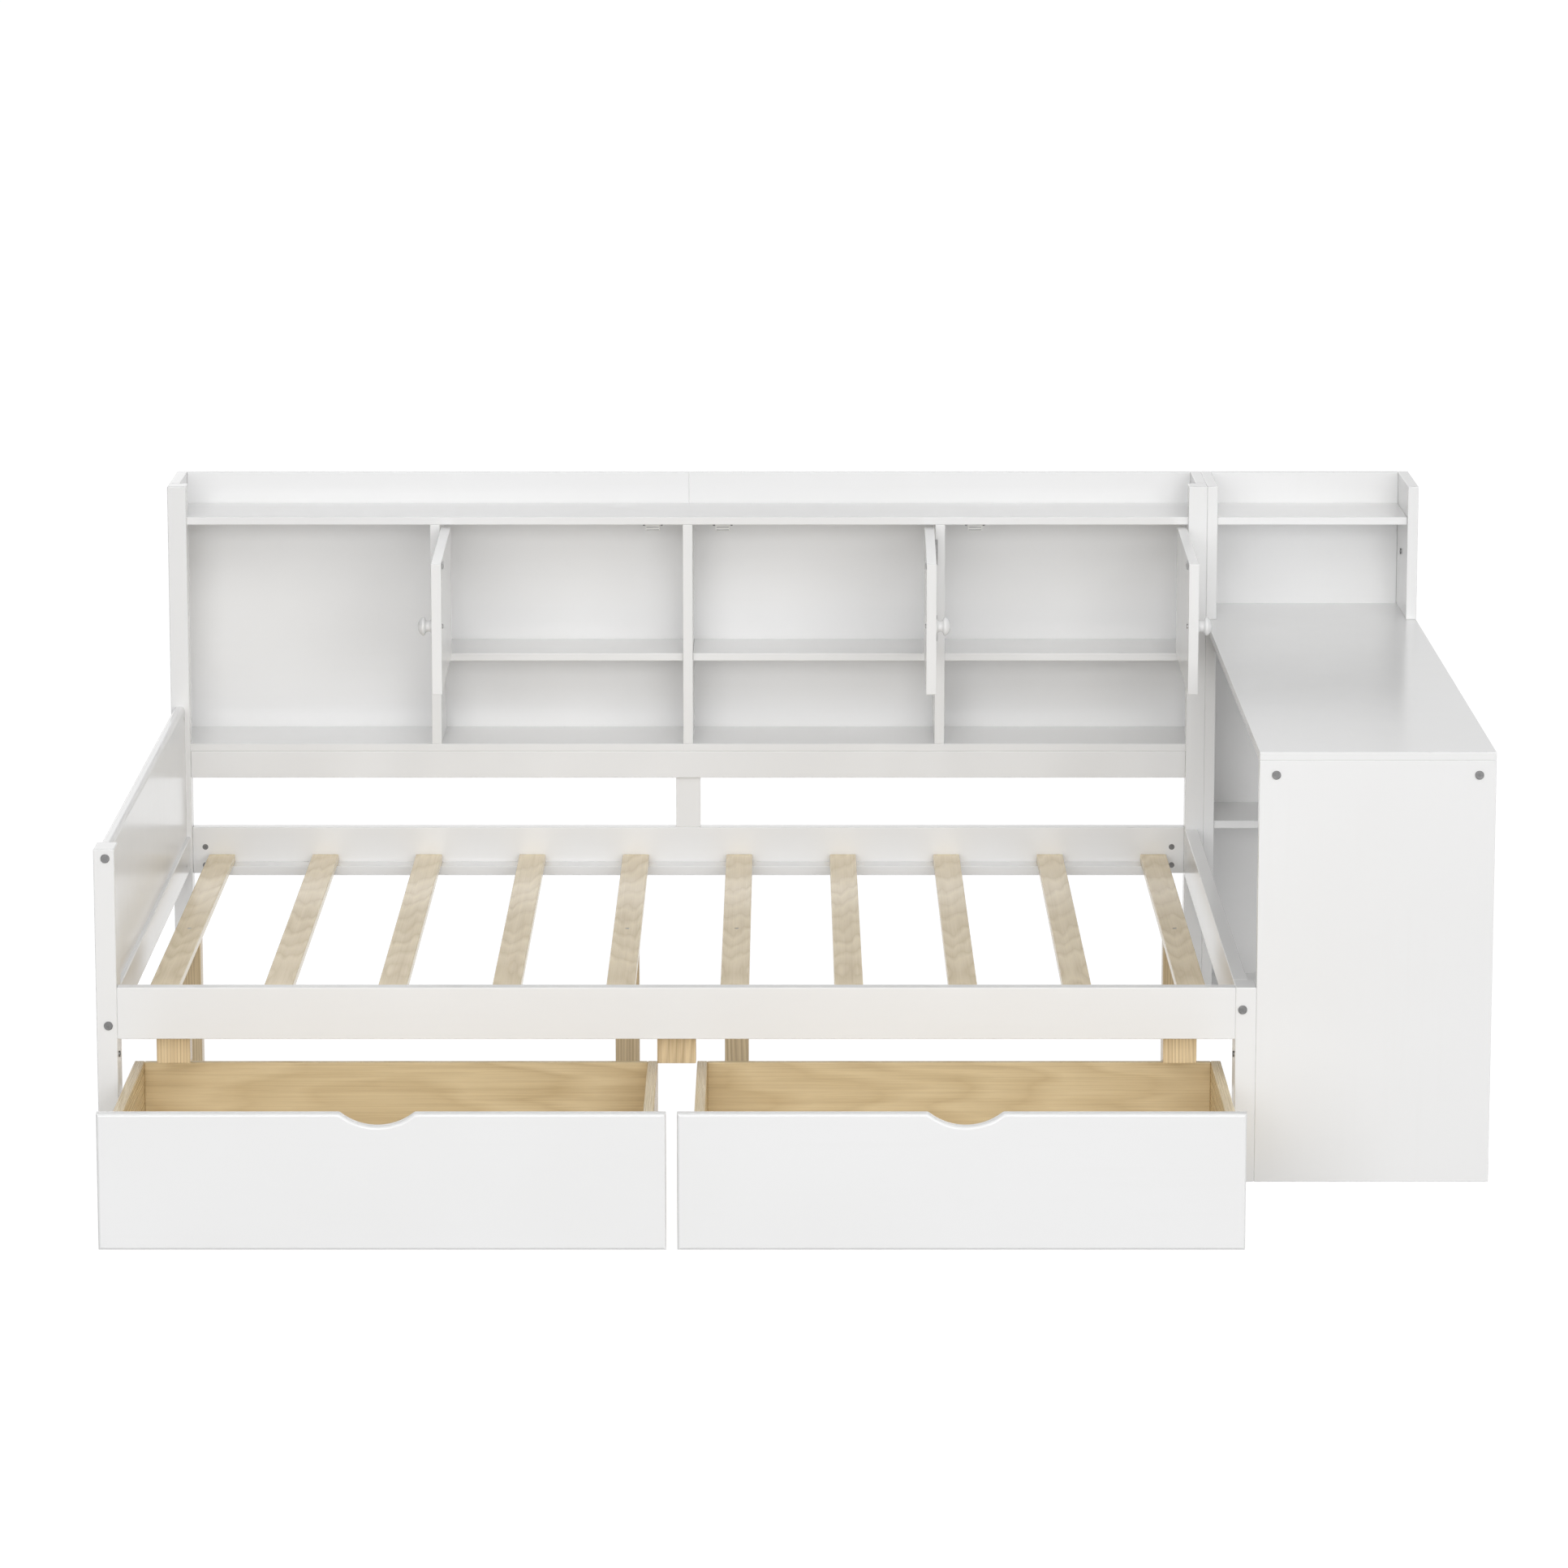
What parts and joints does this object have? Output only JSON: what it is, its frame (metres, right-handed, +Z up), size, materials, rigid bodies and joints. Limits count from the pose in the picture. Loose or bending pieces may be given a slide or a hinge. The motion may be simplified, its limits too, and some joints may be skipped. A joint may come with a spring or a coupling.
{
  "type": "platform bed with storage drawers",
  "caption": "Platform bed with a slatted deck, a bookcase with small doors along its rear side, a desk with a hutch at its right end, and rolling storage drawers.",
  "frame": {"origin": "centre of the footprint on the floor, with the drawers rolled out as at rest", "axes": "+X along the bed towards the desk, +Y to the rear where the bookcase stands, +Z up"},
  "size_m": [2.408, 2.128, 1.017],
  "materials": {
    "white_paint": "satin white paint on wood",
    "slat_oak": "clear matt lacquer, grain along the slat",
    "drawer_oak": "clear matt lacquer",
    "leg_pine": "plain sawn wood",
    "black_steel": "black oxide",
    "zinc_steel": "bright zinc",
    "wheel_plastic": "moulded nylon",
    "catch_plastic": "moulded plastic"
  },
  "bodies": {
    "bed_frame": {"back_rail": "white_paint", "barrel_nuts": "zinc_steel", "bookcase_apron": "white_paint", "bookcase_back_panels": "white_paint", "bookcase_bottom_board": "white_paint", "bookcase_dividers": "white_paint", "bookcase_sides": "white_paint", "bookcase_top_shelf": "white_paint", "centre_post": "white_paint", "desk_back_panel": "white_paint", "desk_bottom_board": "white_paint", "desk_front_panel": "white_paint", "desk_lower_sides": "white_paint", "desk_shelf": "white_paint", "desk_side_rails": "white_paint", "desktop": "white_paint", "door_bay_shelves": "white_paint", "drawer_stop_blocks": "leg_pine", "footboard_lower_rail": "white_paint", "footboard_panel": "white_paint", "frame_bolts": "black_steel", "front_rail": "white_paint", "hinge_frame_leaves": "zinc_steel", "hutch_shelf": "white_paint", "hutch_sides": "white_paint", "left_front_post": "white_paint", "left_upright": "white_paint", "magnet_catches": "catch_plastic", "right_end_rail": "white_paint", "right_front_post": "white_paint", "right_upright": "white_paint", "slat_ledgers": "white_paint", "slat_legs": "leg_pine", "slat_screws": "black_steel", "slats": "slat_oak"},
    "door_1": {"door_1_panel": "white_paint", "door_1_knob": "white_paint", "door_1_fittings": "zinc_steel"},
    "door_2": {"door_2_panel": "white_paint", "door_2_knob": "white_paint", "door_2_fittings": "zinc_steel"},
    "door_3": {"door_3_panel": "white_paint", "door_3_knob": "white_paint", "door_3_fittings": "zinc_steel"},
    "left_drawer": {"left_drawer_front": "white_paint", "left_drawer_sides": "drawer_oak", "left_drawer_back": "drawer_oak", "left_drawer_tray": "drawer_oak", "left_drawer_screws": "black_steel", "left_drawer_caster_brackets": "zinc_steel"},
    "left_drawer_front_wheels": {"left_drawer_front_wheels": "wheel_plastic"},
    "left_drawer_rear_wheels": {"left_drawer_rear_wheels": "wheel_plastic"},
    "right_drawer": {"right_drawer_front": "white_paint", "right_drawer_sides": "drawer_oak", "right_drawer_back": "drawer_oak", "right_drawer_tray": "drawer_oak", "right_drawer_screws": "black_steel", "right_drawer_caster_brackets": "zinc_steel"},
    "right_drawer_front_wheels": {"right_drawer_front_wheels": "wheel_plastic"},
    "right_drawer_rear_wheels": {"right_drawer_rear_wheels": "wheel_plastic"}
  },
  "joints": [
    {"name": "door_1_hinge", "type": "hinge", "parent": "bed_frame", "child": "door_1", "pos_m": [-0.682, 0.8564, 0.814], "axis": [0, 0, -1], "range_deg": [-89.27, 80.73]},
    {"name": "door_2_hinge", "type": "hinge", "parent": "bed_frame", "child": "door_2", "pos_m": [0.276, 0.8564, 0.814], "axis": [0, 0, 1], "range_deg": [-89.27, 15.73]},
    {"name": "door_3_hinge", "type": "hinge", "parent": "bed_frame", "child": "door_3", "pos_m": [0.76325, 0.8564, 0.814], "axis": [0, 0, 1], "range_deg": [-89.27, 5.03]},
    {"name": "left_drawer_slide", "type": "slide", "parent": "bed_frame", "child": "left_drawer", "axis": [0, -1, 0], "range_m": [-0.505, 0.1]},
    {"name": "left_drawer_front_wheel_spin", "type": "hinge", "parent": "left_drawer", "child": "left_drawer_front_wheels", "pos_m": [-1.07425, -0.979, 0.018], "axis": [1, 0, 0], "continuous": true},
    {"name": "left_drawer_rear_wheel_spin", "type": "hinge", "parent": "left_drawer", "child": "left_drawer_rear_wheels", "pos_m": [-1.07425, -0.507, 0.018], "axis": [1, 0, 0], "continuous": true},
    {"name": "right_drawer_slide", "type": "slide", "parent": "bed_frame", "child": "right_drawer", "axis": [0, -1, 0], "range_m": [-0.505, 0.1]},
    {"name": "right_drawer_front_wheel_spin", "type": "hinge", "parent": "right_drawer", "child": "right_drawer_front_wheels", "pos_m": [0.66825, -0.979, 0.018], "axis": [1, 0, 0], "continuous": true},
    {"name": "right_drawer_rear_wheel_spin", "type": "hinge", "parent": "right_drawer", "child": "right_drawer_rear_wheels", "pos_m": [0.66825, -0.507, 0.018], "axis": [1, 0, 0], "continuous": true}
  ],
  "couplings": [
    {"joint": "left_drawer_front_wheel_spin", "follows": "left_drawer_slide", "rad_per_m": 55.556},
    {"joint": "left_drawer_rear_wheel_spin", "follows": "left_drawer_slide", "rad_per_m": 55.556},
    {"joint": "right_drawer_front_wheel_spin", "follows": "right_drawer_slide", "rad_per_m": 55.556},
    {"joint": "right_drawer_rear_wheel_spin", "follows": "right_drawer_slide", "rad_per_m": 55.556}
  ]
}
